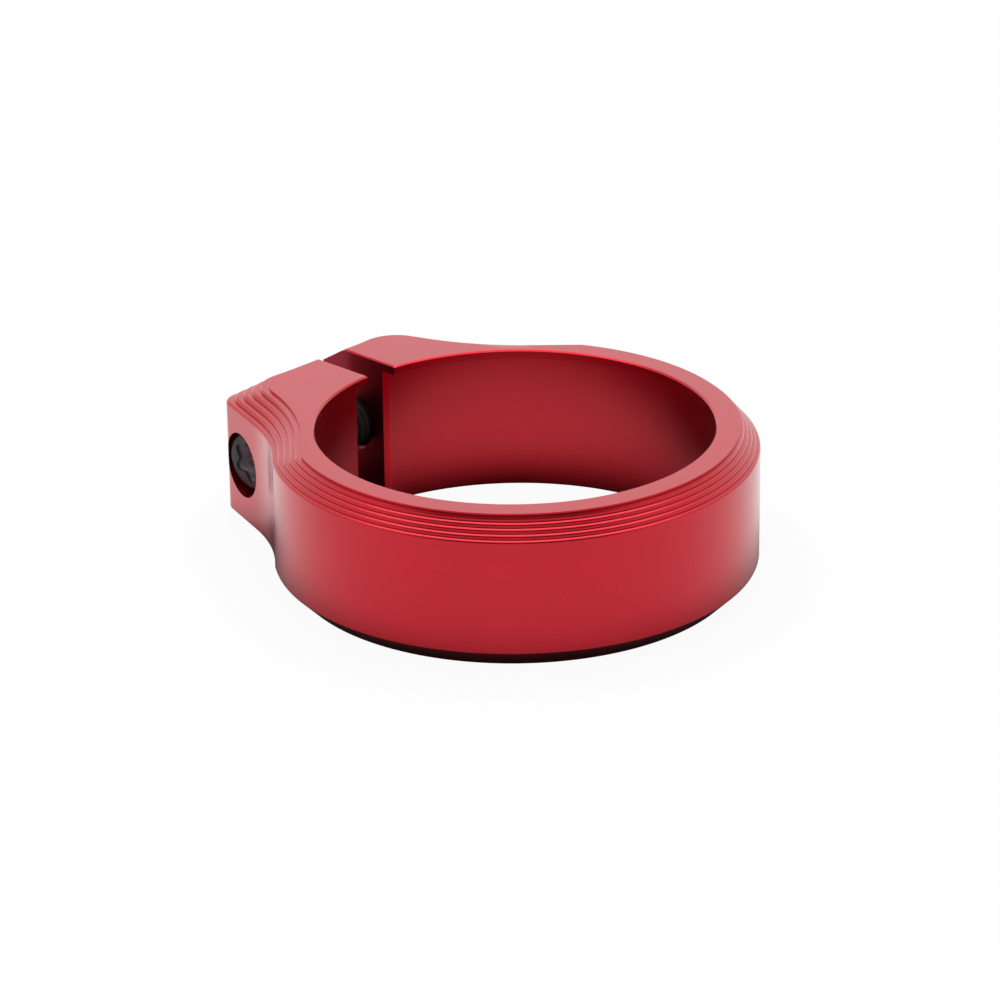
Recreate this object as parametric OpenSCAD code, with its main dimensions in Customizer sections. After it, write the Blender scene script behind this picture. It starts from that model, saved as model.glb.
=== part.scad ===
// Seatpost clamp: a split collar, turned and milled from one blank, with a stepped upper edge that follows the
// ring, the necks and the ears, and one cap screw through the ears.
// The bore's axis is Z, the bottom face is at z = 0, the ears point along +Y and the screw runs along X.

/* [Bore and lip] */
// Diameter of the bore that goes over the seat tube
bore_d = 35; // [28:0.1:45]
// How far the lip at the top reaches in from the bore
lip_reach = 1.1; // [0.5:0.1:2]
// Height of the lip
lip_h = 0.8; // [0.4:0.1:2]
// Small chamfer on the lip's upper edge
lip_edge = 0.12; // [0.05:0.01:0.3]

/* [Ring] */
// Thickness of the ring's wall round the bore
ring_wall = 2.55; // [2.3:0.05:4]
// Height of the whole collar
collar_h = 12.9; // [10:0.1:18]
// Chamfer on the outer bottom edge, all the way round
foot_chamfer = 1.6; // [0.5:0.05:1.65]

/* [Stepped edge] */
// Number of steps
step_count = 5; // [3:1:6]
// Height of one step
step_h = 0.36; // [0.2:0.01:0.45]
// Width of one tread round the ring
ring_tread = 0.33; // [0.15:0.01:0.36]
// Width of one tread on the ears and in the necks
ear_tread = 0.54; // [0.3:0.01:0.6]

/* [Ears] */
// How far the ears stand out past the ring
ear_reach = 4.85; // [4:0.05:8]
// Width across both ears, at their ends
ear_w = 19.1; // [17:0.1:23]
// Angle between an ear's outer side and the slot
ear_slant = 19; // [14:1:22]
// Corner radius of the ears, under the steps
ear_corner_r = 1.7; // [1.66:0.02:2.2]
// Corner radius of the ears, at the top face
ear_corner_top_r = 3.5; // [2:0.1:4]
// Radius of the hollow neck between an ear and the ring, under the steps
neck_r = 17.7; // [12:0.1:24]
// Radius of the hollow neck at the top face
neck_top_r = 21.6; // [16:0.1:28]
// Angle from the slot at which the neck runs out into the ring
neck_angle = 46.5; // [44:0.5:48]
// How deep the neck's straight run-out cuts into the ring, under the steps
neck_cut = 0.1; // [0.08:0.01:0.3]
// How deep the run-out cuts into the ring at the top face
neck_top_cut = 0.9; // [0.6:0.05:1.2]

/* [Slot] */
// Width of the slot
slot_w = 3; // [2:0.1:4]
// Distance of the slot's middle from the bore's axis, towards the threaded ear
slot_offset = 0.8; // [0:0.1:1.2]
// Chamfer where the slot meets the bore
slot_edge = 0.4; // [0.1:0.05:0.6]

/* [Screw] */
// Diameter of the screw's thread
screw_d = 4; // [3:0.1:4.4]
// Length of the screw under its head
screw_len = 16; // [12:0.5:17]
// Diameter of the screw's head
head_d = 5; // [4.8:0.1:5.3]
// Height of the screw's head
head_h = 2.8; // [2.4:0.1:3.2]
// Distance of the screw's axis from the end of the ears
screw_inset = 3.4; // [3.2:0.05:3.6]
// Thickness of the near ear under the head
seat_wall = 6.2; // [5:0.1:6.8]
// Small chamfer on the head's edge
head_edge = 0.25; // [0.1:0.05:0.5]
// Chamfer on the tip of the thread
tip_chamfer = 0.6; // [0.2:0.05:0.9]
// Countersink where the thread starts in the far ear, as a step in radius
thread_edge = 0.45; // [0.1:0.05:0.6]

/* [Driver socket] */
// Size across the lobes of the six-lobed socket
socket_d = 3.86; // [3.6:0.02:3.9]
// Size across the ribs between the lobes
socket_inner_d = 2.8; // [2.6:0.05:2.9]
// Radius at the end of each lobe
socket_lobe_r = 0.34; // [0.34:0.01:0.4]
// Radius of each rib
socket_rib_r = 0.86; // [0.84:0.01:0.9]
// Depth of the socket to the end of its straight walls
socket_depth = 1.7; // [1:0.1:2]

/* [Clearances] */
// Gap round the screw's head in its pocket
head_gap = 0.27; // [0.1:0.01:0.3]
// Gap round the screw in the near ear
shank_gap = 0.15; // [0.1:0.01:0.25]
// Gap round the thread in the far ear
thread_gap = 0.05; // [0.02:0.01:0.08]

/* [Hidden] */
$fn = 96;

// Overrun of the cuts past the faces that they open
overrun = 0.5;
socket_lobes = 6;
// Slope of the drill point under the socket, as depth over radius, and its distance from the ribs
drill_point_share = 0.5;
point_margin = 0.1;
point_r = socket_inner_d / 2 - point_margin;
// Overrun of the foot chamfer's cutter, which has to stay outside the centre of the ears' corners
foot_over = (ear_corner_r - foot_chamfer) / 2;
// How far round shapes stand off the flat ones that they run into, on the walls and on the foot chamfer, so that
// the two cross instead of grazing
touch = 0.01;
foot_touch = 0.02;

bore_r = bore_d / 2;
lip_r = bore_r - lip_reach;
ring_r = bore_r + ring_wall;
ear_end = ring_r + ear_reach;
steps_h = step_count * step_h;

slot_near = slot_offset - slot_w / 2;
slot_far = slot_offset + slot_w / 2;

screw_y = ear_end - screw_inset;
screw_z = collar_h / 2;
seat_x = slot_near - seat_wall;
head_x = seat_x - head_h;
thread_r = screw_d / 2 + thread_gap;

// Outward normal of an ear's side, and the neck's run-out: its normal, and its direction away from the ear
side_n = [cos(ear_slant), sin(ear_slant)];
runout_n = [sin(neck_angle), cos(neck_angle)];
runout_t = [cos(neck_angle), -sin(neck_angle)];

// Distance of the ear's side from the bore's axis, under the steps
side_dist = side_n * [ear_w / 2, ear_end];

// The point at distances da and db along the directions a and b
function meet(a, da, b, db) =
    let (det = a[0] * b[1] - a[1] * b[0])
    [(da * b[1] - db * a[1]) / det, (db * a[0] - da * b[0]) / det];

// The stepped contour at one level. Level 0 is the top face, and level step_count is the wall under the steps.
function blend(top, wall, level) = top + (wall - top) * level / step_count;
function inset(level) = (step_count - level) * ear_tread;
function level_ring_r(level) = ring_r - (step_count - level) * ring_tread;
function level_corner_r(level) = blend(ear_corner_top_r, ear_corner_r, level);
function level_neck_r(level) = blend(neck_top_r, neck_r, level);
function level_runout(level) = level_ring_r(level) - blend(neck_top_cut, neck_cut, level);
function level_side(level) = side_dist - inset(level);
function level_end(level) = ear_end - inset(level);
function corner_c(level) =
    meet(side_n, level_side(level) - level_corner_r(level), [0, 1], level_end(level) - level_corner_r(level));
function neck_c(level) =
    meet(side_n, level_side(level) + level_neck_r(level), runout_n, level_runout(level) + level_neck_r(level));
function on_side(level) = neck_c(level) - level_neck_r(level) * side_n;
function on_runout(level) = neck_c(level) - level_neck_r(level) * runout_n;

function flip(p) = [-p[0], p[1]];

// Both ears as one block, out to the centres of the neck arcs, with each corner cut back to its arc's centre
module ear_block(level) {
    q = level_corner_r(level);
    c = corner_c(level);
    polygon([
        [0, 0],
        on_runout(level), neck_c(level), on_side(level), c + q * side_n, c, c + [0, q],
        flip(c + [0, q]), flip(c), flip(c + q * side_n),
        flip(on_side(level)), flip(neck_c(level)), flip(on_runout(level))
    ]);
    for (p = [c, flip(c)]) translate(p) circle(q + touch);
}

// What the cutter takes away beside the +X ear: the neck's arc and its straight run-out
module neck_cutout(level) {
    past = ring_r * runout_t;
    translate(neck_c(level)) circle(level_neck_r(level) + touch);
    polygon([
        on_runout(level), on_runout(level) + past, neck_c(level) + past, neck_c(level)
    ]);
}

module contour(level) {
    difference() {
        union() {
            circle(level_ring_r(level));
            ear_block(level);
        }
        for (side = [0, 1]) mirror([side, 0]) neck_cutout(level);
    }
}

// Section of the foot chamfer's cutter, with the edge that it takes off at the origin and the outside at +X
module foot_section() {
    polygon([
        [-foot_chamfer - foot_over, -foot_over],
        [foot_over, -foot_over],
        [foot_over, foot_chamfer + foot_over]
    ]);
}

// The foot chamfer along a straight edge from a to b and a little past each end, with the outside on the left
module foot_straight(a, b, past_a, past_b) {
    d = b - a;
    u = d / norm(d);
    from = a - past_a * u;
    translate([from[0], from[1], 0])
        rotate([0, 0, atan2(d[1], d[0]) + 90])
            rotate([90, 0, 0])
                linear_extrude(norm(d) + past_a + past_b) foot_section();
}

// The foot chamfer round a bulging arc of radius r about c
module foot_bulge(c, r, start, turn) {
    translate([c[0], c[1], 0])
        rotate([0, 0, start])
            rotate_extrude(angle = turn)
                translate([r, 0]) foot_section();
}

// The foot chamfer in the neck's hollow arc: a cone about the arc's own centre, a touch deeper than its neighbours
module foot_hollow() {
    c = neck_c(step_count);
    translate([c[0], c[1], -foot_over])
        cylinder(
            h = foot_chamfer + 2 * foot_over,
            r1 = neck_r + foot_chamfer + foot_over + foot_touch,
            r2 = neck_r - foot_over + foot_touch
        );
}

module foot_cut() {
    q = ear_corner_r;
    c = corner_c(step_count);
    t2 = on_runout(step_count);
    joint_angle = atan2(t2[1], t2[0]);
    foot_bulge([0, 0], ring_r, 180 - joint_angle, 180 + 2 * joint_angle);
    foot_straight(flip(c) + [0, q], c + [0, q], q / 2, q / 2);
    for (side = [0, 1]) mirror([side, 0, 0]) {
        foot_hollow();
        foot_straight(c + q * side_n, on_side(step_count), q / 2, 0);
        foot_bulge(c, q + foot_touch, ear_slant, 90 - ear_slant);
    }
}

// The solid blank: the wall with its foot chamfer, and one slab for each step above it
module blank() {
    difference() {
        linear_extrude(collar_h - steps_h) contour(step_count);
        foot_cut();
    }
    for (level = [0:step_count - 1])
        translate([0, 0, collar_h - (level + 1) * step_h - step_h / 2])
            linear_extrude(step_h + step_h / 2) contour(level);
}

module bore_cut() {
    translate([0, 0, -overrun]) cylinder(h = collar_h - lip_h + overrun, r = bore_r);
    translate([0, 0, -overrun]) cylinder(h = collar_h + 2 * overrun, r = lip_r);
    translate([0, 0, collar_h - lip_edge])
        cylinder(h = lip_edge + overrun, r1 = lip_r, r2 = lip_r + lip_edge + overrun);
}

module slot_cut() {
    translate([slot_near, 0, -overrun])
        cube([slot_w, ear_end + overrun, collar_h + 2 * overrun]);
    side = sqrt(2) * slot_edge;
    for (x = [slot_near, slot_far])
        translate([x, sqrt(bore_r * bore_r - x * x), (collar_h - lip_h - overrun) / 2])
            rotate([0, 0, 45])
                cube([side, side, collar_h - lip_h + overrun], center = true);
}

module along_screw(x) {
    translate([x, screw_y, screw_z]) rotate([0, 90, 0]) children();
}

module screw_cut() {
    far = ear_w / 2 + ear_end;
    along_screw(-far) cylinder(h = far + seat_x, r = head_d / 2 + head_gap);
    along_screw(seat_x - overrun)
        cylinder(h = slot_offset - seat_x + overrun, r = screw_d / 2 + shank_gap);
    along_screw(slot_offset) cylinder(h = far, r = thread_r);
    along_screw(slot_far - overrun)
        cylinder(h = thread_edge + overrun, r1 = thread_r + thread_edge + overrun, r2 = thread_r);
}

module collar() {
    color([0.70, 0.13, 0.18])
        difference() {
            blank();
            bore_cut();
            slot_cut();
            screw_cut();
        }
}

// Section of the six-lobed socket: a round core with a round lobe at each point and a round rib between two lobes
module socket_section() {
    lobe_at = socket_d / 2 - socket_lobe_r;
    difference() {
        union() {
            circle(lobe_at);
            for (i = [0:socket_lobes - 1])
                rotate(360 / socket_lobes * i) translate([lobe_at, 0]) circle(socket_lobe_r);
        }
        for (i = [0:socket_lobes - 1])
            rotate(360 / socket_lobes * (i + 0.5))
                translate([socket_inner_d / 2 + socket_rib_r, 0]) circle(socket_rib_r);
    }
}

// The socket's straight walls, over the drill point that is left in its floor
module socket_cut() {
    translate([0, 0, -overrun]) linear_extrude(socket_depth + overrun) socket_section();
    translate([0, 0, socket_depth - overrun / 2]) cylinder(h = overrun / 2, r = point_r);
    translate([0, 0, socket_depth]) cylinder(h = point_r * drill_point_share, r1 = point_r, r2 = 0);
}

module clamp_screw() {
    r = screw_d / 2;
    color([0.12, 0.12, 0.13])
        along_screw(head_x)
            difference() {
                union() {
                    cylinder(h = head_edge, r1 = head_d / 2 - head_edge, r2 = head_d / 2);
                    translate([0, 0, head_edge]) cylinder(h = head_h - head_edge, d = head_d);
                    translate([0, 0, head_h]) cylinder(h = screw_len - tip_chamfer, r = r);
                    translate([0, 0, head_h + screw_len - tip_chamfer])
                        cylinder(h = tip_chamfer, r1 = r, r2 = r - tip_chamfer);
                }
                socket_cut();
            }
}

collar();
clamp_screw();
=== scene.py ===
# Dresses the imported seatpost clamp: the anodised collar with its stepped edge, the cap screw and the stage.
from math import acos, asin, atan2, ceil, cos, hypot, pi, radians, sin, sqrt

import bmesh
import bpy
from bpy.props import FloatProperty, FloatVectorProperty, IntProperty, PointerProperty
from mathutils import Matrix, Vector


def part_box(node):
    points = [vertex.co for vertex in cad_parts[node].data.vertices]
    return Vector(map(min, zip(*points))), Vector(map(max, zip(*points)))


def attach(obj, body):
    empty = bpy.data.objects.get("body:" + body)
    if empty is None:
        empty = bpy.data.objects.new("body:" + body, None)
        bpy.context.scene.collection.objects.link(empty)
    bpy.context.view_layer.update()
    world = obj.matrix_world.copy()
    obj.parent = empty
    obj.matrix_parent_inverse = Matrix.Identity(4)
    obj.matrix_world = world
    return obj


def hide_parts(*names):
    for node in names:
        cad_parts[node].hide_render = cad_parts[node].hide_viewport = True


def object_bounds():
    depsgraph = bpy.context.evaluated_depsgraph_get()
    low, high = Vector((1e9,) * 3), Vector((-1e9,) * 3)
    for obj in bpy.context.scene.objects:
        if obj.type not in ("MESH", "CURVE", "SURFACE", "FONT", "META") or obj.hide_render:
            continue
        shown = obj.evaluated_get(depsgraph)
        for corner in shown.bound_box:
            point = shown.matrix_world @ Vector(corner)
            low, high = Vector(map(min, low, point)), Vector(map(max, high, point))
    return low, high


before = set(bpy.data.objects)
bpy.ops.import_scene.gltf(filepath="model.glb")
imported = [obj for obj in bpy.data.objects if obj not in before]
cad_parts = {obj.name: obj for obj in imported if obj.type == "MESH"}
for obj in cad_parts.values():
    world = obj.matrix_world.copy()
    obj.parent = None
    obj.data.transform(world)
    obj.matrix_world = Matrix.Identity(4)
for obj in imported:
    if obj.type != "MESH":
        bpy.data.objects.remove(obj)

bl_info = {
    "name": "Seatpost Clamp",
    "version": (1, 0, 0),
    "blender": (4, 5, 0),
    "location": "3D View > Sidebar > Clamp",
    "description": "Builds a stepped seatpost clamp with its cap screw and a plain studio",
    "category": "Add Mesh",
}

CAD_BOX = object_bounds()
MM = 0.001

COLLAR_NODE = "collar"
SCREW_NODE = "clamp_screw"
COLLAR_BODY = "collar"
SCREW_BODY = "screw"

COLLAR_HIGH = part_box(COLLAR_NODE)[1]
SCREW_LOW, SCREW_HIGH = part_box(SCREW_NODE)

# Where the photograph was taken from, in the part's own frame
CAMERA_AT = (-234.184 * MM, -223.779 * MM, 146.798 * MM)
CAMERA_RIGHT = (0.690108, -0.723614, -0.011558)
CAMERA_DOWN = (-0.295652, -0.267314, -0.917133)
CAMERA_AHEAD = (0.660561, 0.636338, -0.398413)
CAMERA_LENS = 154.42
SENSOR_WIDTH = 36.0
CAMERA_REACH = (0.01, 50.0)

# How many points each stretch of the collar's outline has, and how many rings each rounded edge has
END_STATIONS = 6
CORNER_STATIONS = 12
SIDE_STATIONS = 4
NECK_STATIONS = 16
RUN_STATIONS = 3
RING_STATIONS = 104
EDGE_RINGS = 4
# How quickly the steps run out towards the slot, and how far
FADE_PACE = 1.4
FADE_MOST = 0.97

# The thread's rows in one turn, its sides, and the parts of its pitch in the root and on each flank
THREAD_ROWS = 16
THREAD_SIDES = 64
THREAD_ROOT = 0.25
THREAD_FLANK = 0.3125
# Where the thread starts round its axis, so that none of its points lies on an edge of the head
THREAD_START = radians(1)

# How much of the floor's plain white reflections show, against what the camera sees of it
MIRRORED_SHARE = 0.3
# How much of the floor's colour is left in the painted shadow where the part stands over it
SHADED_SHARE = 0.1
SHADE_REACH = 12 * MM
FLOOR_SIZE = 6.0
# The world's plain fill, and the unlit room on the camera's side that only reflections show
FILL = 0.5
DARK_ROOM = (-0.66, -0.636, 0.35)
DARK_ROOM_SHARE = 0.8
DARK_ROOM_EDGE = (cos(radians(65)), cos(radians(32)))
# The one lamp, over the part
SOFTBOX_HEIGHT = 0.5
SOFTBOX_SIZE = 0.7
SOFTBOX_RADIANCE = 1.5

# The tightest gaps that still count as one point, after an extrusion and after two cuts in a row
WELD = 0.0005 * MM
CUT_WELD = 0.002 * MM
# Edges that turn by more than this stay sharp when the faces are smoothed
COLLAR_CREASE = radians(38)
SCREW_CREASE = radians(35)
# The sides of round holes and of the head, and of the socket with its lobes
ROUND_SIDES = 96
SOCKET_SIDES = 120
LOBES = 6


def length(name, value, about, low=0.0, high=100.0):
    """A length that the sidebar shows, with its value and limits given in millimetres."""
    return FloatProperty(
        name=name, description=about, default=value * MM,
        min=low * MM, max=high * MM, precision=5, subtype="DISTANCE", unit="LENGTH",
    )


class CollarSizes(bpy.types.PropertyGroup):
    bore_r: length("Bore radius", 17.5, "Radius of the bore over the seat tube")
    lip_r: length("Lip radius", 16.4, "Radius inside the lip at the top")
    lip_h: length("Lip height", 0.8, "Height of the lip")
    ring_r: length("Ring radius", 20.05, "Outer radius of the ring under the steps")
    foot: length("Foot chamfer", 1.6, "Chamfer on the outer bottom edge")
    step_h: length("Step height", 0.36, "Height of one step")
    ring_tread: length("Ring tread", 0.33, "Width of one tread round the ring")
    ear_tread: length("Ear tread", 0.54, "Width of one tread on the ears")
    steps: IntProperty(name="Steps", description="Number of steps", default=5, min=1, max=9)
    ear_w: length("Ear width", 19.1, "Width across both ears at their ends")
    ear_slant: FloatProperty(
        name="Ear slant", description="Angle between an ear's side and the slot",
        default=radians(19), subtype="ANGLE",
    )
    corner_r: length("Corner radius", 1.7, "Corner radius of the ears under the steps")
    corner_top_r: length("Top corner radius", 3.5, "Corner radius of the ears at the top face")
    neck_r: length("Neck radius", 17.7, "Radius of the hollow neck under the steps")
    neck_top_r: length("Top neck radius", 21.6, "Radius of the hollow neck at the top face")
    neck_angle: FloatProperty(
        name="Neck angle", description="Angle from the slot at which the neck meets the ring",
        default=radians(46.5), subtype="ANGLE",
    )
    neck_cut: length("Neck cut", 0.1, "How deep the neck runs into the ring under the steps")
    neck_top_cut: length("Top neck cut", 0.9, "How deep the neck runs into the ring at the top")
    slot_near: length("Near cheek", -0.7, "Place of the slot's cheek on the head's side", -5.0)
    slot_far: length("Far cheek", 2.3, "Place of the slot's cheek on the thread's side", -5.0)
    step_edge: length("Step edge", 0.24, "Radius on the outer edges of the steps")
    top_edge: length("Top edge", 0.03, "Radius on the outer edge of the top face")
    first_edge: length("First step edge", 0.42, "Radius on the outer edge of the first step")
    first_crown: FloatProperty(
        name="First step crown",
        description="How far round the first step's edge turns before it meets the tread",
        default=radians(38), subtype="ANGLE",
    )
    top_rise: length("Top rise", 0.15, "How much lower the first step is than the others")
    lip_edge: length("Lip edge", 0.12, "Break on the lip's edges")
    cut_edge: length("Cut edge break", 0.13, "Break on the top edges of the slot's cheeks")
    bore_edge: length("Bore edge break", 0.2, "Break on the bore's bottom edge")
    slot_edge: length("Slot chamfer", 0.4, "Chamfer where the slot meets the bore")
    pocket_r: length("Pocket radius", 2.77, "Radius of the pocket for the screw's head")
    shank_hole_r: length("Shank hole radius", 2.15, "Radius of the hole in the near ear")
    thread_hole_r: length("Thread hole radius", 2.05, "Radius of the hole in the far ear")
    countersink: length("Countersink", 0.45, "Step in radius where the thread starts in the far ear")


class ScrewSizes(bpy.types.PropertyGroup):
    thread_r: length("Thread radius", 2.0, "Outer radius of the thread")
    thread_depth: length("Thread depth", 0.43, "Depth of the thread")
    tip_chamfer: length("Tip chamfer", 0.6, "Chamfer on the thread's end")
    pitch: length("Pitch", 0.7, "Advance of the thread in one turn")
    head_r: length("Head radius", 2.5, "Radius of the head")
    head_h: length("Head height", 2.8, "Height of the head")
    head_edge: length("Head edge", 0.25, "Chamfer on the head's outer edge")
    socket_r: length("Socket radius", 1.93, "Radius across the socket's lobes")
    rib_r: length("Rib distance", 1.4, "Distance of the socket's ribs from the axis")
    socket_depth: length("Socket depth", 1.7, "Depth of the socket")


class ClampFinishes(bpy.types.PropertyGroup):
    anodised: FloatVectorProperty(
        name="Anodised red", description="Colour of the dyed oxide on the collar",
        default=(0.53, 0.0025, 0.016), size=3, min=0.0, max=1.0, subtype="COLOR",
    )
    black_oxide: FloatVectorProperty(
        name="Black oxide", description="Colour of the screw",
        default=(0.14, 0.125, 0.134), size=3, min=0.0, max=1.0, subtype="COLOR",
    )
    floor: FloatVectorProperty(
        name="Floor", description="Colour of the floor and the backdrop",
        default=(0.92, 0.92, 0.92), size=3, min=0.0, max=1.0, subtype="COLOR",
    )
    floor_whiteness: FloatProperty(
        name="Floor whiteness", description="Share of plain white in what is seen of the floor",
        default=0.95, min=0.0, max=1.0, subtype="FACTOR",
    )


class Contour:
    """The collar's stepped outline. Level 0 is the top face, and the last level is the wall below it."""

    def __init__(self, s):
        self.s = s
        self.end = COLLAR_HIGH[1]
        self.side_n = Vector((cos(s.ear_slant), sin(s.ear_slant)))
        self.run_n = Vector((sin(s.neck_angle), cos(s.neck_angle)))
        self.side_dist = self.side_n.dot(Vector((s.ear_w / 2, self.end)))

    def blend(self, top, wall, level):
        """A size between the top face's and the wall's."""
        return top + (wall - top) * level / self.s.steps

    @staticmethod
    def meet(a, da, b, db):
        """Where two lines cross, each given by its normal and its distance from the axis."""
        det = a[0] * b[1] - a[1] * b[0]
        return Vector(((da * b[1] - db * a[1]) / det, (db * a[0] - da * b[0]) / det))

    def half(self, level, cheek):
        """Points and outward normals from the cheek at the ear's end to the ring's back, on the +X side."""
        s = self.s
        inset = (s.steps - level) * s.ear_tread
        ring = self.ring_r(level)
        q = self.blend(s.corner_top_r, s.corner_r, level)
        neck = self.blend(s.neck_top_r, s.neck_r, level)
        run = ring - self.blend(s.neck_top_cut, s.neck_cut, level)
        end = self.end - inset
        side = self.side_dist - inset
        up = Vector((0.0, 1.0))
        corner = self.meet(self.side_n, side - q, up, end - q)
        hollow = self.meet(self.side_n, side + neck, self.run_n, run + neck)
        out = []

        def straight(a, b, n, count, last=False):
            for i in range(count + (1 if last else 0)):
                out.append((a.lerp(b, i / count), n.copy()))

        def arc(c, r, start, stop, count, way=1.0):
            for i in range(count):
                t = start + (stop - start) * i / count
                n = Vector((cos(t), sin(t)))
                out.append((c + r * n, n * way))

        straight(Vector((cheek, end)), corner + q * up, up, END_STATIONS)
        out[1] = (Vector((cheek + s.cut_edge, end)), up.copy())
        arc(corner, q, pi / 2, s.ear_slant, CORNER_STATIONS)
        straight(corner + q * self.side_n, hollow - neck * self.side_n, self.side_n, SIDE_STATIONS)
        arc(hollow, neck, pi + s.ear_slant, 1.5 * pi - s.neck_angle, NECK_STATIONS, -1.0)
        crossing = pi / 2 - s.neck_angle - acos(run / ring)
        straight(hollow - neck * self.run_n, ring * Vector((cos(crossing), sin(crossing))),
                 self.run_n, RUN_STATIONS)
        arc(Vector((0.0, 0.0)), ring, crossing, -pi / 2, RING_STATIONS)
        # The crease where the run-out meets the ring takes the mean of both directions
        crease = END_STATIONS + CORNER_STATIONS + SIDE_STATIONS + NECK_STATIONS + RUN_STATIONS
        p, n = out[crease]
        mean = (n + self.run_n).normalized()
        out[crease] = (p, mean / mean.dot(n))
        return out

    def ring(self, level, inset):
        """One point for each station, all the way from the far cheek round the ring to the near cheek."""
        s = self.s
        far = self.half(level, s.slot_far)
        near = self.half(level, -s.slot_near)
        points = [p - inset * n for p, n in far]
        points.append(Vector((0.0, -self.ring_r(level) + inset)))
        points += [Vector((-(p - inset * n)[0], (p - inset * n)[1])) for p, n in reversed(near)]
        return points

    def ring_r(self, level):
        """The ring's radius at a level."""
        return self.s.ring_r - (self.s.steps - level) * self.s.ring_tread

    def circle(self, r, chamfer=0.0):
        """The same stations on a circle about the bore's axis, with a chamfer at each cheek or none."""
        s = self.s
        count = END_STATIONS + CORNER_STATIONS + SIDE_STATIONS + NECK_STATIONS + RUN_STATIONS + RING_STATIONS
        far = asin(s.slot_far / r)
        near = asin(s.slot_near / r)
        points = []
        for i in range(count):
            t = far + (pi - far) * i / count
            points.append(Vector((r * sin(t), r * cos(t))))
        for i in range(count + 1):
            t = pi + (pi + near) * i / count
            points.append(Vector((r * sin(t), r * cos(t))))
        for ends, x, way in (((0, 1), s.slot_far, 1), ((-1, -2), s.slot_near, -1)):
            # The next station stands just inside the chamfer's end, or at the end of the cheek's break
            beside = x + way * (0.95 * chamfer or s.cut_edge)
            points[ends[0]] = Vector((x, sqrt(r * r - x * x) + chamfer))
            points[ends[1]] = Vector((beside, sqrt(r * r - beside * beside)))
        return points

    def fade(self, count):
        """How far the steps have run out into a plain slope at each station: at the slot all but wholly."""
        weights = [0.0] * count
        for i in range(END_STATIONS):
            t = min(1.0, FADE_PACE * (1 - i / END_STATIONS))
            weights[i] = weights[-1 - i] = FADE_MOST * t * t * (3 - 2 * t)
        return weights

    def faded(self, points, z, high, rise):
        """The heights of a ring of the steps, with the ears' ends brought towards a plain slope."""
        s = self.s
        run = s.steps * s.ear_tread
        slope = (s.steps * s.step_h - rise) / run
        heights = []
        for p, w in zip(points, self.fade(len(points))):
            line = min(high, high - (p[1] - self.end + run) * slope)
            heights.append(z + (line - z) * w)
        return heights


def deselect_all():
    for o in bpy.context.selected_objects:
        o.select_set(False)


def only(obj):
    """Makes one object the active and selected one."""
    if bpy.context.mode != "OBJECT":
        bpy.ops.object.mode_set(mode="OBJECT")
    deselect_all()
    obj.select_set(True)
    bpy.context.view_layer.objects.active = obj


def settle(obj):
    """Writes the object's place into its mesh, so that it sits at the origin, unturned and unscaled."""
    only(obj)
    bpy.ops.object.transform_apply(location=True, rotation=True, scale=True)


def apply_modifier(obj, name):
    only(obj)
    bpy.ops.object.modifier_apply(modifier=name)


def cut(obj, tool, operation="DIFFERENCE"):
    """Cuts the tool out of the object and removes the tool."""
    m = obj.modifiers.new("cut", "BOOLEAN")
    m.operation = operation
    m.solver = "EXACT"
    m.object = tool
    apply_modifier(obj, m.name)
    mesh = tool.data
    bpy.data.objects.remove(tool)
    bpy.data.meshes.remove(mesh)


def mend(obj):
    """Merges what two cuts in a row left all but touching, and fills the slivers between."""
    only(obj)
    bpy.ops.object.mode_set(mode="EDIT")
    bpy.ops.mesh.select_all(action="SELECT")
    bpy.ops.mesh.remove_doubles(threshold=CUT_WELD)
    bpy.ops.mesh.select_all(action="SELECT")
    bpy.ops.mesh.fill_holes(sides=8)
    bpy.ops.mesh.select_all(action="SELECT")
    bpy.ops.mesh.normals_make_consistent(inside=False)
    bpy.ops.object.mode_set(mode="OBJECT")


def smooth(obj, angle):
    only(obj)
    bpy.ops.object.shade_smooth_by_angle(angle=angle)
    m = obj.modifiers.new("weighted", "WEIGHTED_NORMAL")
    m.keep_sharp = True
    m.weight = 100
    apply_modifier(obj, m.name)


def finished(obj, name, body, node, material):
    settle(obj)
    obj.name = name
    obj.data.name = name
    obj.data.materials.clear()
    obj.data.materials.append(material)
    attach(obj, body)
    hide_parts(node)


class Value:
    """A shader socket with arithmetic: an expression on values adds its own Math nodes."""

    def __init__(self, tree, socket):
        self.tree = tree
        self.socket = socket

    def _math(self, operation, *others):
        return self.tree.add("ShaderNodeMath", {"operation": operation}, [self, *others])[0]

    def __add__(self, other):
        return self._math("ADD", other)

    def __radd__(self, other):
        return self._math("ADD", other)

    def __sub__(self, other):
        return self._math("SUBTRACT", other)

    def __rsub__(self, other):
        return self.tree.add("ShaderNodeMath", {"operation": "SUBTRACT"}, [other, self])[0]

    def __mul__(self, other):
        return self._math("MULTIPLY", other)

    def __rmul__(self, other):
        return self._math("MULTIPLY", other)

    def absolute(self):
        return self._math("ABSOLUTE")

    def clamped(self):
        return self.tree.add("ShaderNodeClamp", {}, [self])[0]

    def band(self, low, high):
        """0 below low, 1 above high, and smooth between."""
        return self.tree.add(
            "ShaderNodeMapRange", {"interpolation_type": "SMOOTHSTEP"}, {0: self, 1: low, 2: high}
        )[0]


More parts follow.
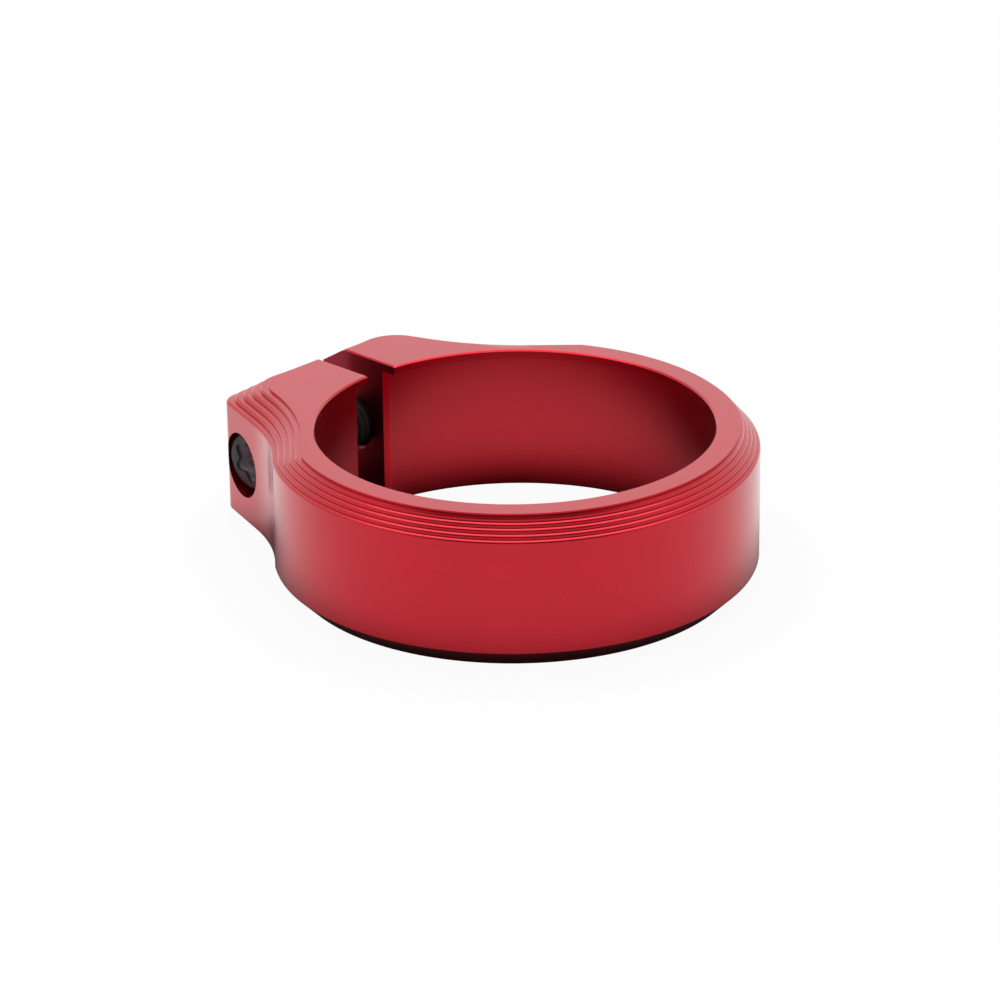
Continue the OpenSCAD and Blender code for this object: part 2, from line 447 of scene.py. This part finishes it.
class Shader:
    """The node tree of one material, or of the world."""

    def __init__(self, owner, output="ShaderNodeOutputMaterial"):
        self.owner = owner
        self.owner.use_nodes = True
        self.nodes = self.owner.node_tree.nodes
        self.links = self.owner.node_tree.links
        self.nodes.clear()
        self.output = self.nodes.new(output)

    def add(self, kind, settings=None, sockets=None):
        """Adds a node, with its settings first and then the values or links of its sockets."""
        node = self.nodes.new(kind)
        for key, value in (settings or {}).items():
            setattr(node, key, value)
        pairs = sockets.items() if isinstance(sockets, dict) else enumerate(sockets or [])
        for key, value in pairs:
            if isinstance(value, Value):
                self.links.new(value.socket, node.inputs[key])
            else:
                node.inputs[key].default_value = value
        return Outputs(self, node)

    def surface(self, closure):
        self.links.new(closure.socket, self.output.inputs["Surface"])

    def noise(self, at, scale, detail=2.0, roughness=0.5):
        return self.add(
            "ShaderNodeTexNoise", {},
            {"Vector": at, "Scale": scale, "Detail": detail, "Roughness": roughness},
        )["Fac"]


class Outputs:
    """The outputs of one node, by number or by name."""

    def __init__(self, tree, node):
        self.tree = tree
        self.node = node

    def __getitem__(self, key):
        return Value(self.tree, self.node.outputs[key])


def tinted(color, *gains):
    """A colour with its channels multiplied, by one number or by three, and an alpha of 1."""
    if len(gains) == 1:
        gains = gains * 3
    return (*[c * gain for c, gain in zip(color, gains)], 1.0)


def anodised_red(color, s, bore_at):
    """Satin red anodised aluminium: dyed oxide over finely machined metal, under a clear sealed skin."""
    t = Shader(bpy.data.materials.new("anodised_red"))
    at = t.add("ShaderNodeTexCoord")["Object"]
    split = t.add("ShaderNodeSeparateXYZ", {}, [at])
    cloud = t.noise(at, 160.0, 3.0)
    grain = t.noise(at, 5200.0, 3.0, 0.6)
    # Turned marks: fine rings that follow the height, and the distance from the bore's axis on the flat faces
    flat = t.add("ShaderNodeCombineXYZ", {}, {"X": split[0], "Y": split[1]})[0]
    from_axis = t.add("ShaderNodeVectorMath", {"operation": "LENGTH"}, [flat])["Value"]
    along = t.add("ShaderNodeCombineXYZ", {}, {"X": from_axis * 14000.0, "Y": split[2] * 12000.0})[0]
    marks = t.noise(along, 1.0, 2.0)
    dyed = t.add(
        "ShaderNodeMix", {"data_type": "RGBA"},
        {"Factor": (cloud * 0.4 + grain * 0.4 + marks * 0.2).band(0.35, 0.65),
         "A": tinted(color, 0.95, 0.8, 0.88), "B": tinted(color, 1.05, 1.2, 1.12)},
    )["Result"]
    # Painted shade: the slot's cheeks get a darker colour and a thinner coat, standing in for the shade
    # between them
    hair = 0.01 * MM
    off_middle = (split[0] - (s.slot_near + s.slot_far) / 2).absolute()
    half = (s.slot_far - s.slot_near) / 2
    beside = off_middle.band(half + hair, half + 3 * hair)
    ears_side = split[1].band(0.0, MM)
    painted_slot_shade = (1.0 - beside) * ears_side
    # Painted highlight: the chamfer between the slot and the bore gets a brighter, whiter red that stands in
    # for the light it reflects
    edge_end = half + s.slot_edge
    edge_r = s.bore_r + s.slot_edge
    under_lip = COLLAR_HIGH[2] - s.lip_h
    painted_bright_edge = (
        beside
        * (1.0 - off_middle.band(edge_end - hair, edge_end + hair))
        * (1.0 - from_axis.band(edge_r + 2 * hair, edge_r + 4 * hair))
        * (1.0 - split[2].band(under_lip - 3 * hair, under_lip - hair))
        * ears_side
    )
    dyed = t.add(
        "ShaderNodeMix", {"data_type": "RGBA"},
        {"Factor": painted_bright_edge, "A": dyed, "B": tinted(color, 1.7, 3.0, 1.6)},
    )["Result"]
    # Painted shade: the countersink in the far cheek is darkened too, for the shade round the screw in it
    hole = t.add("ShaderNodeCombineXYZ", {}, {"Y": split[1] - bore_at[1], "Z": split[2] - bore_at[2]})[0]
    off_axis = t.add("ShaderNodeVectorMath", {"operation": "LENGTH"}, [hole])["Value"]
    mouth = s.thread_hole_r + s.countersink + 5 * hair
    in_mouth = 1.0 - off_axis.band(mouth, mouth + 5 * hair)
    painted_mouth_shade = in_mouth * (1.0 - off_middle.band(half + 0.6 * MM, half + MM))
    painted_slot_shade = (painted_slot_shade + painted_mouth_shade).clamped()
    # Painted shade in the slot and the countersink: a darker colour, mottled by noise
    tone = t.add(
        "ShaderNodeMix", {"data_type": "RGBA"},
        {"Factor": painted_slot_shade * (0.75 + 0.35 * t.noise(at, 2600.0, 4.0, 0.7)).clamped(), "A": dyed,
         "B": tinted(color, 0.42, 0.5, 0.9)},
    )["Result"]
    bump = t.add(
        "ShaderNodeBump", {},
        {"Strength": 0.10, "Distance": 0.02 * MM, "Height": grain * 0.8 + marks * 0.25},
    )["Normal"]
    # The coat is thinned where the painted shade lies, so that the slot reflects less
    skin = t.add(
        "ShaderNodeBsdfPrincipled", {},
        {"Base Color": tone, "Metallic": 1.0, "Roughness": 0.27 + 0.06 * cloud + 0.08 * grain,
         "Coat Weight": 1.0 - 0.6 * painted_slot_shade, "Coat Roughness": 0.16, "Coat IOR": 1.36, "Normal": bump},
    )["BSDF"]
    t.surface(skin)
    return t.owner


def black_oxide(color, face, seat):
    """Black oxide on steel: darker on the head's face, with painted light in its socket, and darker on the
    thread, partly its own black and partly painted shade.
    """
    t = Shader(bpy.data.materials.new("black_oxide"))
    at = t.add("ShaderNodeTexCoord")["Object"]
    bloom = t.noise(at, 900.0, 4.0, 0.6)
    grain = t.noise(at, 7000.0, 2.0)
    along = t.add("ShaderNodeSeparateXYZ", {}, [at])[0]
    # Painted light: the socket beyond the face is made much lighter to stand in for the light its dark cavity
    # lacks; the face itself is darker
    face_tone_painted_socket_light = t.add(
        "ShaderNodeMix", {"data_type": "RGBA"},
        {"Factor": along.band(face + 0.1 * MM, face + 0.5 * MM), "A": tinted(color, 0.38),
         "B": tinted(color, 4.2)},
    )["Result"]
    bloomed = t.add(
        "ShaderNodeMix", {"data_type": "RGBA", "blend_type": "MULTIPLY"},
        {"Factor": 1.0 - bloom.band(0.35, 0.75), "A": face_tone_painted_socket_light, "B": (0.5, 0.5, 0.5, 1.0)},
    )["Result"]
    # The thread is darker past the seat: partly the screw's own black, partly painted shade of the slot it
    # crosses
    tone = t.add(
        "ShaderNodeMix", {"data_type": "RGBA"},
        {"Factor": along.band(seat - 0.05 * MM, seat + 0.05 * MM), "A": bloomed,
         "B": tinted(color, 0.2)},
    )["Result"]
    bump = t.add("ShaderNodeBump", {}, {"Strength": 0.2, "Distance": 0.02 * MM, "Height": grain})["Normal"]
    skin = t.add(
        "ShaderNodeBsdfPrincipled", {},
        {"Base Color": tone, "Metallic": 0.3, "Roughness": 0.45 + 0.2 * bloom, "Normal": bump},
    )["BSDF"]
    t.surface(skin)
    return t.owner


def pale_floor(color, whiteness, shade):
    """A matt floor that the camera and reflections see part white, except close to what stands on it, where
    its colour is darkened as painted shadow.
    """
    t = Shader(bpy.data.materials.new("pale_floor"))
    ray = t.add("ShaderNodeLightPath")
    open_sky = t.add("ShaderNodeAmbientOcclusion", {"samples": 8}, {"Distance": shade})["AO"].band(0.45, 0.95)
    mirrored = (ray["Is Glossy Ray"] + ray["Is Transmission Ray"]).clamped() * open_sky * MIRRORED_SHARE
    seen = ray["Is Camera Ray"] + mirrored
    # Painted shadow: the floor's colour darkens by ambient occlusion close to the part
    tone = t.add(
        "ShaderNodeMix", {"data_type": "RGBA"},
        {"Factor": open_sky, "A": tinted(color, SHADED_SHARE), "B": tinted(color, 1.0)},
    )["Result"]
    matt = t.add("ShaderNodeBsdfDiffuse", {}, {"Color": tone})["BSDF"]
    white = t.add("ShaderNodeEmission", {}, {"Color": (1.0, 1.0, 1.0, 1.0), "Strength": 1.0})["Emission"]
    t.surface(t.add("ShaderNodeMixShader", {}, [seen * whiteness, matt, white])["Shader"])
    return t.owner


def studio_world(world):
    """White where it is seen, a plain fill where it only lights, and darker in near-side reflections."""
    t = Shader(world, "ShaderNodeOutputWorld")
    ray = t.add("ShaderNodeLightPath")
    towards = t.add("ShaderNodeTexCoord")["Generated"]
    room = Vector(DARK_ROOM).normalized()
    facing = t.add("ShaderNodeVectorMath", {"operation": "DOT_PRODUCT"}, [towards, room])["Value"]
    dark = facing.band(*DARK_ROOM_EDGE)
    seen = (ray["Is Camera Ray"] + ray["Is Transmission Ray"]) * (1.0 - FILL)
    mirrored = ray["Is Glossy Ray"] * (1.0 - FILL - DARK_ROOM_SHARE * dark)
    strength = (FILL + seen + mirrored).clamped()
    white = {"Color": (1.0, 1.0, 1.0, 1.0), "Strength": strength}
    t.surface(t.add("ShaderNodeBackground", {}, white)["Background"])


def softbox(name, place, aim, width, depth, radiance):
    """A rectangular lamp of an even radiance, turned to a point."""
    lamp = bpy.data.lights.new(name, "AREA")
    lamp.shape = "RECTANGLE"
    lamp.size = width
    lamp.size_y = depth
    lamp.energy = radiance * pi * width * depth
    obj = bpy.data.objects.new(name, lamp)
    bpy.context.scene.collection.objects.link(obj)
    obj.location = place
    obj.rotation_euler = (Vector(aim) - Vector(place)).to_track_quat("-Z", "Y").to_euler()
    return obj


class CLAMP_OT_collar(bpy.types.Operator):
    """Builds the collar by extruding its outline from ring to ring, then cuts the screw's holes"""

    bl_idname = "clamp.collar"
    bl_label = "Collar"
    bl_options = {"REGISTER", "UNDO"}

    def profile(self, s, outline):
        """Each ring of points round the collar, from the foot over the steps and lip to the bottom face."""
        high = COLLAR_HIGH[2]
        wall = s.steps
        # The bottom chamfer's two edges are softened by this much
        soft = 0.04 * MM
        rings = [(outline.ring(wall, s.foot + soft), 0.0)]
        rings.append((outline.ring(wall, s.foot - 0.4 * soft), 0.6 * soft))
        rings.append((outline.ring(wall, 0.6 * soft), s.foot - 0.6 * soft))
        rings.append((outline.ring(wall, 0.0), s.foot + soft))
        first = len(rings) + 1
        for level in range(wall, -1, -1):
            top = high - level * s.step_h + (s.top_rise if level else 0.0)
            e, crown = (s.step_edge, pi / 2) if level > 1 else (s.top_edge, pi / 2)
            if level == 1:
                e, crown = s.first_edge, s.first_crown
            for i in range(EDGE_RINGS + 1):
                t = crown * i / EDGE_RINGS
                rings.append((outline.ring(level, e * (1 - cos(t))), top - e * (sin(crown) - sin(t))))
            if level:
                rings.append((outline.ring(level - 1, 0.0), top))
        rings[first:] = [(points, outline.faded(points, z, high, s.top_rise)) for points, z in rings[first:]]
        e = s.lip_edge
        rings.append((outline.circle(s.lip_r + 1.15 * e), high))
        rings.append((outline.circle(s.lip_r + e), high - 0.12 * e))
        rings.append((outline.circle(s.lip_r + 0.12 * e), high - e))
        rings.append((outline.circle(s.lip_r), high - 1.15 * e))
        rings.append((outline.circle(s.lip_r), high - s.lip_h + 0.5 * e))
        rings.append((outline.circle(s.lip_r + 0.5 * e), high - s.lip_h))
        rings.append((outline.circle(s.bore_r, s.slot_edge), high - s.lip_h))
        rings.append((outline.circle(s.bore_r, s.slot_edge), s.bore_edge))
        rings.append((outline.circle(s.bore_r + s.bore_edge, s.slot_edge), 0.0))
        return rings

    def place(self, bm, station, ring):
        """Moves the selected vertices to their stations' points, and lowers the cheeks' top edge."""
        points, heights = ring
        most = COLLAR_HIGH[2] - bpy.context.scene.clamp_collar.cut_edge
        for v in bm.verts:
            if v.select:
                i = v[station]
                x, y = points[i]
                z = heights[i] if isinstance(heights, list) else heights
                if i in (0, len(points) - 1):
                    z = min(z, most)
                v.co = (x, y, z)

    def execute(self, context):
        s = context.scene.clamp_collar
        outline = Contour(s)
        rings = self.profile(s, outline)
        count = len(rings[0][0])
        deselect_all()
        bpy.ops.mesh.primitive_circle_add(vertices=count, radius=s.ring_r, location=(0, 0, 0))
        obj = context.object
        bpy.ops.object.mode_set(mode="EDIT")
        bpy.ops.mesh.select_mode(type="EDGE")
        bm = bmesh.from_edit_mesh(obj.data)
        station = bm.verts.layers.int.new("station")
        bm.verts.ensure_lookup_table()
        for v in bm.verts:
            v[station] = v.index
        # The edge between the last station and the first is the slot
        for edge in bm.edges:
            ends = {v[station] for v in edge.verts}
            edge.select_set(ends == {0, count - 1})
        bmesh.update_edit_mesh(obj.data)
        bpy.ops.mesh.delete(type="EDGE_FACE")
        bpy.ops.mesh.select_all(action="SELECT")
        bm = bmesh.from_edit_mesh(obj.data)
        station = bm.verts.layers.int["station"]
        self.place(bm, station, rings[0])
        bmesh.update_edit_mesh(obj.data)
        for ring in rings[1:] + rings[:1]:
            bpy.ops.mesh.extrude_edges_move(TRANSFORM_OT_translate={"value": (0, 0, 0.0)})
            bm = bmesh.from_edit_mesh(obj.data)
            station = bm.verts.layers.int["station"]
            self.place(bm, station, ring)
            bmesh.update_edit_mesh(obj.data)
        bpy.ops.mesh.select_all(action="SELECT")
        bpy.ops.mesh.remove_doubles(threshold=WELD)
        self.cheeks(obj, count)
        bpy.ops.mesh.select_all(action="SELECT")
        bpy.ops.mesh.normals_make_consistent(inside=False)
        bpy.ops.object.mode_set(mode="OBJECT")
        self.holes(obj, s)
        mend(obj)
        smooth(obj, COLLAR_CREASE)
        finished(obj, "anodised_collar", COLLAR_BODY, COLLAR_NODE,
                 anodised_red(context.scene.clamp_finishes.anodised, s, self.axis()))
        return {"FINISHED"}

    def cheeks(self, obj, count):
        """Closes the two cut ends."""
        for last in (0, count - 1):
            bpy.ops.mesh.select_mode(type="EDGE")
            bpy.ops.mesh.select_all(action="DESELECT")
            bm = bmesh.from_edit_mesh(obj.data)
            station = bm.verts.layers.int["station"]
            for edge in bm.edges:
                if edge.is_boundary and all(v[station] == last for v in edge.verts):
                    edge.select_set(True)
            bmesh.update_edit_mesh(obj.data)
            bpy.ops.mesh.edge_face_add()

    def axis(self):
        """A point on the screw's axis."""
        return [(a + b) / 2 for a, b in zip(SCREW_LOW, SCREW_HIGH)]

    def holes(self, obj, s):
        """The pocket, the shank's hole and the thread's hole, one after the other along the screw's axis."""
        middle = self.axis()
        screw = bpy.context.scene.clamp_screw
        seat = SCREW_LOW[0] + screw.head_h
        reach = s.ring_r
        slot_middle = (s.slot_near + s.slot_far) / 2
        for r, a, b in (
            (s.pocket_r, -reach, seat),
            (s.shank_hole_r, seat - screw.head_h / 2, slot_middle),
            (s.thread_hole_r, slot_middle, reach),
        ):
            deselect_all()
            bpy.ops.mesh.primitive_cylinder_add(
                vertices=ROUND_SIDES, radius=r, depth=b - a,
                location=((a + b) / 2, middle[1], middle[2]), rotation=(0, pi / 2, 0),
            )
            tool = bpy.context.object
            settle(tool)
            cut(obj, tool)
        # The countersink's cone runs past both of its ends by this much
        past = 0.1 * MM
        mouth = s.thread_hole_r + s.countersink + past
        depth = s.countersink + 2 * past
        deselect_all()
        bpy.ops.mesh.primitive_cone_add(
            vertices=ROUND_SIDES, radius1=mouth, radius2=mouth - depth, depth=depth,
            location=(s.slot_far - past + depth / 2, middle[1], middle[2]), rotation=(0, pi / 2, 0),
        )
        tool = bpy.context.object
        settle(tool)
        cut(obj, tool)


class CLAMP_OT_screw(bpy.types.Operator):
    """Builds the cap screw: a head with a six-lobed socket, and a thread"""

    bl_idname = "clamp.screw"
    bl_label = "Cap screw"
    bl_options = {"REGISTER", "UNDO"}

    def execute(self, context):
        s = context.scene.clamp_screw
        low, high = SCREW_LOW, SCREW_HIGH
        axis_y = (low[1] + high[1]) / 2
        axis_z = (low[2] + high[2]) / 2
        head = self.turned(
            [(0.0, 0.0), (s.head_r - s.head_edge, 0.0), (s.head_r - 0.4 * s.head_edge, 0.2 * s.head_edge),
             (s.head_r - 0.1 * s.head_edge, 0.5 * s.head_edge), (s.head_r, s.head_edge),
             (s.head_r, s.head_h - 0.1 * MM), (s.head_r - 0.1 * MM, s.head_h), (0.0, s.head_h)], ROUND_SIDES)
        self.along_x(head, low[0], axis_y, axis_z)
        shank = self.thread(s, high[0] - low[0] - s.head_h)
        shank.rotation_euler = (0.0, 0.0, THREAD_START)
        settle(shank)
        self.along_x(shank, low[0] + s.head_h, axis_y, axis_z)
        cut(head, shank, "UNION")
        self.socket(head, s, low[0], axis_y, axis_z)
        mend(head)
        smooth(head, SCREW_CREASE)
        finished(head, "black_cap_screw", SCREW_BODY, SCREW_NODE,
                 black_oxide(context.scene.clamp_finishes.black_oxide, low[0], low[0] + s.head_h))
        return {"FINISHED"}

    def turned(self, points, segments):
        """A solid turned from a half section of (radius, height) points."""
        obj = self.chain(points)
        bpy.ops.object.mode_set(mode="EDIT")
        bpy.ops.mesh.select_all(action="SELECT")
        bpy.ops.mesh.spin(steps=segments, angle=2 * pi, center=(0, 0, 0), axis=(0, 0, 1))
        bpy.ops.mesh.select_all(action="SELECT")
        bpy.ops.mesh.remove_doubles(threshold=WELD)
        bpy.ops.mesh.normals_make_consistent(inside=False)
        bpy.ops.object.mode_set(mode="OBJECT")
        return obj

    def thread_r_at(self, s, part):
        """The thread's radius at a part of its pitch: root, flank, crest, flank."""
        part %= 1.0
        rising = (part - THREAD_ROOT) / THREAD_FLANK
        falling = (1.0 - part) / THREAD_FLANK
        return s.thread_r - s.thread_depth * (1.0 - max(0.0, min(1.0, rising, falling)))

    def thread(self, s, reach):
        """The threaded shank: one turn extruded row by row, repeated by an array, chamfered and capped."""
        turns = ceil(reach / s.pitch) + 1
        deselect_all()
        bpy.ops.mesh.primitive_circle_add(vertices=THREAD_SIDES, radius=s.thread_r)
        obj = bpy.context.object
        bpy.ops.object.mode_set(mode="EDIT")
        bpy.ops.mesh.select_mode(type="EDGE")
        bpy.ops.mesh.select_all(action="SELECT")
        for row in range(THREAD_ROWS + 1):
            if row:
                bpy.ops.mesh.extrude_edges_move(TRANSFORM_OT_translate={"value": (0, 0, 0)})
            bm = bmesh.from_edit_mesh(obj.data)
            for v in bm.verts:
                if v.select:
                    turn = atan2(v.co.y, v.co.x)
                    r = self.thread_r_at(s, row / THREAD_ROWS - turn / (2 * pi))
                    v.co = (r * cos(turn), r * sin(turn), row * s.pitch / THREAD_ROWS)
            bmesh.update_edit_mesh(obj.data)
        bpy.ops.object.mode_set(mode="OBJECT")
        m = obj.modifiers.new("turns", "ARRAY")
        m.count = turns
        m.use_relative_offset = False
        m.use_constant_offset = True
        m.constant_offset_displace = (0, 0, s.pitch)
        m.use_merge_vertices = True
        m.merge_threshold = 0.001 * MM
        apply_modifier(obj, m.name)
        bpy.ops.object.mode_set(mode="EDIT")
        bpy.ops.mesh.select_all(action="SELECT")
        bpy.ops.transform.translate(value=(0, 0, reach - turns * s.pitch))
        for end in (reach - turns * s.pitch, reach):
            bpy.ops.mesh.select_all(action="DESELECT")
            bm = bmesh.from_edit_mesh(obj.data)
            for v in bm.verts:
                r = hypot(v.co.x, v.co.y)
                most = s.thread_r - s.tip_chamfer + reach - v.co.z
                if r > most:
                    v.co.x *= most / r
                    v.co.y *= most / r
            for edge in bm.edges:
                edge.select_set(edge.is_boundary and all(abs(v.co.z - end) < 0.01 * MM for v in edge.verts))
            bmesh.update_edit_mesh(obj.data)
            bpy.ops.mesh.edge_face_add()
        bpy.ops.mesh.select_all(action="SELECT")
        bpy.ops.mesh.normals_make_consistent(inside=False)
        bpy.ops.object.mode_set(mode="OBJECT")
        return obj

    def chain(self, points):
        """An open chain of edges through (radius, height) points."""
        deselect_all()
        bpy.ops.mesh.primitive_circle_add(vertices=len(points), radius=MM)
        obj = bpy.context.object
        bpy.ops.object.mode_set(mode="EDIT")
        bpy.ops.mesh.select_mode(type="EDGE")
        bm = bmesh.from_edit_mesh(obj.data)
        bm.verts.ensure_lookup_table()
        for edge in bm.edges:
            edge.select_set({v.index for v in edge.verts} == {0, len(points) - 1})
        for v, (r, h) in zip(bm.verts, points):
            v.co = (r, 0.0, h)
        bmesh.update_edit_mesh(obj.data)
        bpy.ops.mesh.delete(type="EDGE_FACE")
        bpy.ops.object.mode_set(mode="OBJECT")
        return obj

    def along_x(self, obj, x, y, z):
        """Turns a piece that was built along Z to X, with its start at a place on the screw's axis."""
        obj.rotation_euler = (0.0, pi / 2, 0.0)
        obj.location = (x, y, z)
        settle(obj)

    def socket(self, head, s, x, y, z):
        """Cuts the six-lobed socket."""
        deselect_all()
        bpy.ops.mesh.primitive_cylinder_add(
            vertices=SOCKET_SIDES, radius=s.socket_r, depth=2 * s.socket_depth
        )
        tool = bpy.context.object
        mean = (s.socket_r + s.rib_r) / 2
        swing = (s.socket_r - s.rib_r) / 2
        for v in tool.data.vertices:
            t = atan2(v.co.y, v.co.x)
            r = mean + swing * cos(LOBES * t)
            v.co.x = r * cos(t)
            v.co.y = r * sin(t)
        tool.rotation_euler = (0.0, pi / 2, 0.0)
        tool.location = (x, y, z)
        settle(tool)
        cut(head, tool)


class CLAMP_OT_stage(bpy.types.Operator):
    """Sets the floor, the lights and the camera"""

    bl_idname = "clamp.stage"
    bl_label = "Stage"
    bl_options = {"REGISTER", "UNDO"}

    def execute(self, context):
        finishes = context.scene.clamp_finishes
        deselect_all()
        bpy.ops.mesh.primitive_plane_add(size=FLOOR_SIZE, location=(0, 0, CAD_BOX[0][2]))
        floor = context.object
        floor.name = "floor"
        floor.data.materials.append(pale_floor(finishes.floor, finishes.floor_whiteness, SHADE_REACH))

        world = context.scene.world or bpy.data.worlds.new("studio")
        context.scene.world = world
        studio_world(world)
        softbox("overhead_softbox", (0.0, 0.0, SOFTBOX_HEIGHT), (0, 0, 0), SOFTBOX_SIZE, SOFTBOX_SIZE,
                SOFTBOX_RADIANCE)

        camera_data = bpy.data.cameras.new("camera")
        camera = bpy.data.objects.new("camera", camera_data)
        context.scene.collection.objects.link(camera)
        right = Vector(CAMERA_RIGHT)
        up = -Vector(CAMERA_DOWN)
        back = -Vector(CAMERA_AHEAD)
        turn = Matrix((right, up, back)).transposed().to_4x4()
        camera.matrix_world = Matrix.Translation(CAMERA_AT) @ turn
        camera_data.lens = CAMERA_LENS
        camera_data.sensor_width = SENSOR_WIDTH
        camera_data.clip_start, camera_data.clip_end = CAMERA_REACH
        camera_data.dof.use_dof = False
        context.scene.camera = camera
        context.scene.view_settings.view_transform = "Standard"
        return {"FINISHED"}


class CLAMP_PT_panel(bpy.types.Panel):
    """Lists the clamp's sizes and steps"""

    bl_idname = "CLAMP_PT_panel"
    bl_label = "Seatpost Clamp"
    bl_space_type = "VIEW_3D"
    bl_region_type = "UI"
    bl_category = "Clamp"

    def draw(self, context):
        layout = self.layout
        for operator in OPERATORS:
            layout.operator(operator.bl_idname)
        for group in (context.scene.clamp_collar, context.scene.clamp_screw, context.scene.clamp_finishes):
            box = layout.box()
            for name in group.bl_rna.properties.keys():
                if name not in ("rna_type", "name"):
                    box.prop(group, name)


GROUPS = (CollarSizes, ScrewSizes, ClampFinishes)
OPERATORS = (CLAMP_OT_collar, CLAMP_OT_screw, CLAMP_OT_stage)
CLASSES = (*GROUPS, *OPERATORS, CLAMP_PT_panel)


def register():
    for cls in CLASSES:
        bpy.utils.register_class(cls)
    bpy.types.Scene.clamp_collar = PointerProperty(type=CollarSizes)
    bpy.types.Scene.clamp_screw = PointerProperty(type=ScrewSizes)
    bpy.types.Scene.clamp_finishes = PointerProperty(type=ClampFinishes)


def unregister():
    del bpy.types.Scene.clamp_collar
    del bpy.types.Scene.clamp_screw
    del bpy.types.Scene.clamp_finishes
    for cls in reversed(CLASSES):
        bpy.utils.unregister_class(cls)


def main():
    register()
    bpy.ops.clamp.collar()
    bpy.ops.clamp.screw()
    bpy.ops.clamp.stage()


if __name__ == "__main__":
    main()
